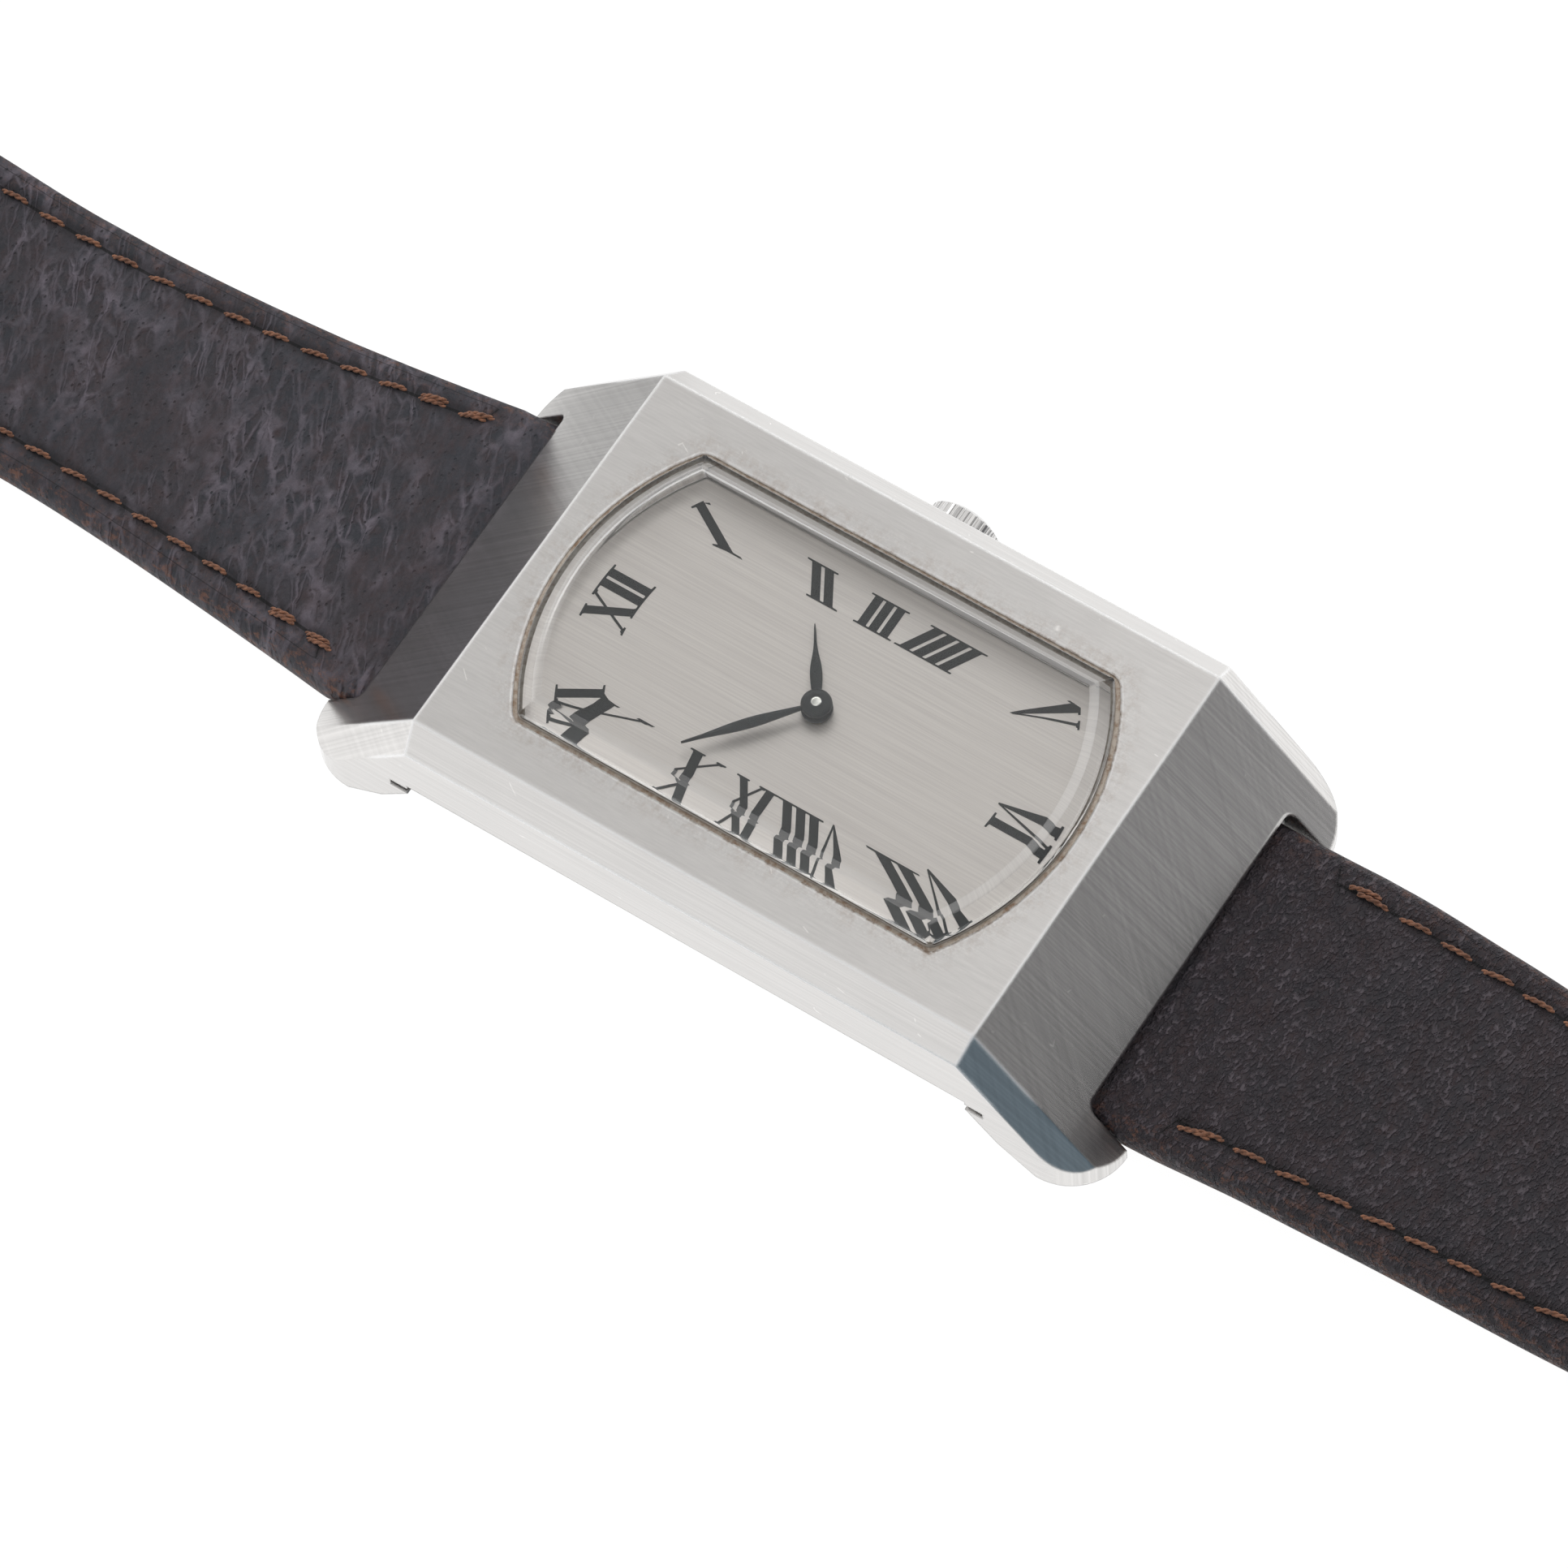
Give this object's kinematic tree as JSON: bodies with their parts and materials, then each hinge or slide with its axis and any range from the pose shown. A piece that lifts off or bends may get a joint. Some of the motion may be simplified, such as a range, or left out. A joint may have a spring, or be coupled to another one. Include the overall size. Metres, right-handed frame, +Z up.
{
  "type": "automatic wristwatch",
  "caption": "Rectangular self-winding wristwatch with a faceted hooded steel case, barrel-shaped window, leaf hands, fluted crown and open leather strap with a pin buckle.",
  "frame": {"origin": "centre of the case back's flat outer face, which rests on the table", "axes": "+X towards the crown at 3 o'clock, +Y towards 12 o'clock along the strap, +Z up through the dial"},
  "size_m": [0.028, 0.2435, 0.0112],
  "materials": {
    "case_steel": "satin ground and brushed stainless steel",
    "crystal_glass": "polished mineral glass with a bevelled edge",
    "gasket_plastic": "aged translucent nylon",
    "black_rubber": "soft sealing rubber",
    "back_steel": "circular-brushed stainless steel",
    "crown_steel": "polished, fluted stainless steel",
    "holder_plastic": "moulded ivory plastic",
    "dial_silver": "silvered brass, brushed from 12 to 6",
    "hand_black": "blue-black lacquered hands",
    "gilt_brass": "gilt brass plates and wheels",
    "rhodium_plate": "grained rhodium-plated brass",
    "hard_steel": "hardened polished steel",
    "screw_steel": "polished screws",
    "ruby": "synthetic ruby",
    "rotor_metal": "brushed gilt rotor",
    "strap_leather": "worn dark brown calf leather, waxed grain",
    "keeper_leather": "dark brown leather loop",
    "buckle_steel": "polished stainless steel"
  },
  "bodies": {
    "case": {"case_middle": "case_steel", "crystal": "crystal_glass", "crystal_gasket": "gasket_plastic", "case_back": "back_steel", "case_back_gasket": "black_rubber", "crown_tube": "crown_steel", "movement_holder": "holder_plastic", "holding_clamps": "hard_steel", "clamp_screws": "screw_steel", "dial": "dial_silver", "mainplate": "rhodium_plate", "barrel_bridge": "rhodium_plate", "train_bridge": "rhodium_plate", "pallet_bridge": "rhodium_plate", "balance_cock": "rhodium_plate", "bridge_screws": "screw_steel", "plate_jewels": "ruby", "bridge_jewels": "ruby", "automatic_bridge": "rhodium_plate", "rotor_bearing": "hard_steel", "spring_bars": "hard_steel"},
    "minute_arbor": {"minute_hand": "hand_black", "cannon_pinion": "hard_steel", "centre_wheel": "gilt_brass"},
    "hour_pipe": {"hour_hand": "hand_black", "hour_wheel": "gilt_brass"},
    "minute_wheel": {"minute_wheel": "gilt_brass"},
    "setting_wheel": {"setting_wheel": "gilt_brass"},
    "barrel": {"mainspring_barrel": "gilt_brass", "mainspring": "hard_steel"},
    "third_wheel": {"third_wheel": "gilt_brass"},
    "fourth_wheel": {"fourth_wheel": "gilt_brass"},
    "escape_wheel": {"escape_wheel": "hard_steel"},
    "pallet_fork": {"pallet_fork": "hard_steel"},
    "balance": {"balance_wheel": "gilt_brass", "balance_staff": "hard_steel", "hairspring": "hard_steel"},
    "winding_arbor": {"barrel_arbor": "hard_steel", "ratchet_wheel": "hard_steel"},
    "crown_wheel": {"crown_wheel": "hard_steel"},
    "driving_wheel": {"driving_wheel": "gilt_brass"},
    "winding_pinion": {"winding_pinion": "hard_steel"},
    "sliding_pinion": {"sliding_pinion": "hard_steel"},
    "crown": {"crown": "crown_steel", "crown_gasket": "black_rubber", "winding_stem": "hard_steel"},
    "setting_lever": {"setting_lever": "hard_steel"},
    "yoke": {"yoke": "hard_steel"},
    "click": {"click": "hard_steel"},
    "rotor": {"rotor": "rotor_metal", "rotor_gear": "gilt_brass"},
    "reverser_a": {"reverser_wheel_a": "gilt_brass"},
    "reverser_b": {"reverser_wheel_b": "gilt_brass"},
    "strap_12": {"strap_12": "strap_leather", "fixed_keeper": "keeper_leather"},
    "strap_6": {"strap_6": "strap_leather"},
    "buckle": {"buckle_frame": "buckle_steel", "buckle_bar": "hard_steel"},
    "tongue": {"buckle_tongue": "buckle_steel"},
    "free_keeper": {"free_keeper": "keeper_leather"}
  },
  "joints": [
    {"name": "minute_turn", "type": "hinge", "parent": "case", "child": "minute_arbor", "pos_m": [0, 0, 0.005], "axis": [0, 0, 1], "continuous": true},
    {"name": "hour_turn", "type": "hinge", "parent": "case", "child": "hour_pipe", "pos_m": [0, 0, 0.005], "axis": [0, 0, 1], "continuous": true},
    {"name": "minute_wheel_turn", "type": "hinge", "parent": "case", "child": "minute_wheel", "pos_m": [0.00184, -0.00154, 0.005], "axis": [0, 0, 1], "continuous": true},
    {"name": "setting_wheel_turn", "type": "hinge", "parent": "case", "child": "setting_wheel", "pos_m": [0.00455, -0.00084, 0.005], "axis": [0, 0, 1], "continuous": true},
    {"name": "barrel_turn", "type": "hinge", "parent": "case", "child": "barrel", "pos_m": [0.00205, 0.00355, 0.005], "axis": [0, 0, 1], "continuous": true},
    {"name": "third_turn", "type": "hinge", "parent": "case", "child": "third_wheel", "pos_m": [-0.00421, 0.00059, 0.005], "axis": [0, 0, 1], "continuous": true},
    {"name": "fourth_turn", "type": "hinge", "parent": "case", "child": "fourth_wheel", "pos_m": [-0.00502, -0.00245, 0.005], "axis": [0, 0, 1], "continuous": true},
    {"name": "escape_turn", "type": "hinge", "parent": "case", "child": "escape_wheel", "pos_m": [-0.0026, -0.00415, 0.005], "axis": [0, 0, 1], "continuous": true},
    {"name": "pallet_swing", "type": "hinge", "parent": "case", "child": "pallet_fork", "pos_m": [-0.00044, -0.00453, 0.005], "axis": [0, 0, 1], "range_deg": [-5, 5]},
    {"name": "balance_swing", "type": "hinge", "parent": "case", "child": "balance", "pos_m": [0.00212, -0.00498, 0.005], "axis": [0, 0, 1], "range_deg": [-270, 270], "stiffness_Nm_per_rad": 0.0000004},
    {"name": "crown_turn", "type": "hinge", "parent": "case", "child": "winding_pinion", "pos_m": [0.00776, 0, 0.0062], "axis": [1, 0, 0], "continuous": true},
    {"name": "sliding_pinion_shift", "type": "slide", "parent": "winding_pinion", "child": "sliding_pinion", "axis": [1, 0, 0], "range_m": [-0.00046, 0]},
    {"name": "crown_pull", "type": "slide", "parent": "winding_pinion", "child": "crown", "axis": [1, 0, 0], "range_m": [0, 0.0009]},
    {"name": "setting_lever_swing", "type": "hinge", "parent": "case", "child": "setting_lever", "pos_m": [0.00891, -0.0021, 0.005], "axis": [0, 0, 1], "range_deg": [-32, 0]},
    {"name": "yoke_swing", "type": "hinge", "parent": "case", "child": "yoke", "pos_m": [0.00684, -0.0023, 0.005], "axis": [0, 0, 1], "range_deg": [0, 18]},
    {"name": "crown_wheel_turn", "type": "hinge", "parent": "case", "child": "crown_wheel", "pos_m": [0.00638, 0, 0.005], "axis": [0, 0, 1], "continuous": true},
    {"name": "winding_arbor_turn", "type": "hinge", "parent": "case", "child": "winding_arbor", "pos_m": [0.00205, 0.00355, 0.005], "axis": [0, 0, 1], "continuous": true},
    {"name": "driving_wheel_turn", "type": "hinge", "parent": "case", "child": "driving_wheel", "pos_m": [-0.00201, 0.00412, 0.005], "axis": [0, 0, 1], "continuous": true},
    {"name": "click_swing", "type": "hinge", "parent": "case", "child": "click", "pos_m": [0.00539, 0.00656, 0.005], "axis": [0, 0, 1], "range_deg": [0, 12], "stiffness_Nm_per_rad": 0.000001},
    {"name": "rotor_turn", "type": "hinge", "parent": "case", "child": "rotor", "pos_m": [0, 0, 0.005], "axis": [0, 0, 1], "continuous": true},
    {"name": "reverser_a_turn", "type": "hinge", "parent": "case", "child": "reverser_a", "pos_m": [-0.00329, -0.0012, 0.005], "axis": [0, 0, 1], "continuous": true},
    {"name": "reverser_b_turn", "type": "hinge", "parent": "case", "child": "reverser_b", "pos_m": [-0.00381, 0.00176, 0.005], "axis": [0, 0, 1], "continuous": true},
    {"name": "strap_12_swing", "type": "hinge", "parent": "case", "child": "strap_12", "pos_m": [0, 0.0216, 0.0017], "axis": [1, 0, 0], "range_deg": [-80, 12]},
    {"name": "strap_6_swing", "type": "hinge", "parent": "case", "child": "strap_6", "pos_m": [0, -0.0216, 0.0017], "axis": [-1, 0, 0], "range_deg": [-80, 12]},
    {"name": "buckle_swing", "type": "hinge", "parent": "strap_12", "child": "buckle", "pos_m": [0, 0.0956, 0.0022], "axis": [1, 0, 0], "range_deg": [-40, 45]},
    {"name": "tongue_swing", "type": "hinge", "parent": "buckle", "child": "tongue", "pos_m": [0, 0.0956, 0.0022], "axis": [1, 0, 0], "range_deg": [0, 80]},
    {"name": "free_keeper_slide", "type": "slide", "parent": "strap_12", "child": "free_keeper", "axis": [0, -1, 0], "range_m": [-0.0025, 0.016]}
  ],
  "couplings": [
    {"joint": "hour_turn", "follows": "minute_turn", "ratio": 0.083333},
    {"joint": "minute_wheel_turn", "follows": "minute_turn", "ratio": -0.33333},
    {"joint": "setting_wheel_turn", "follows": "minute_turn", "ratio": 0.6},
    {"joint": "barrel_turn", "follows": "minute_turn", "ratio": -0.13889},
    {"joint": "third_turn", "follows": "minute_turn", "ratio": -7.5},
    {"joint": "fourth_turn", "follows": "minute_turn", "ratio": 60},
    {"joint": "escape_turn", "follows": "minute_turn", "ratio": -720},
    {"joint": "sliding_pinion_shift", "follows": "crown_pull", "ratio": -0.5},
    {"joint": "setting_lever_swing", "follows": "crown_pull", "rad_per_m": -595.24},
    {"joint": "yoke_swing", "follows": "crown_pull", "rad_per_m": 297.62},
    {"joint": "crown_wheel_turn", "follows": "crown_turn", "ratio": 0.75},
    {"joint": "winding_arbor_turn", "follows": "crown_turn", "ratio": -0.48529},
    {"joint": "driving_wheel_turn", "follows": "crown_turn", "ratio": 2.3571},
    {"joint": "reverser_a_turn", "follows": "rotor_turn", "ratio": -1.3333},
    {"joint": "reverser_b_turn", "follows": "rotor_turn", "ratio": 1.3333}
  ]
}
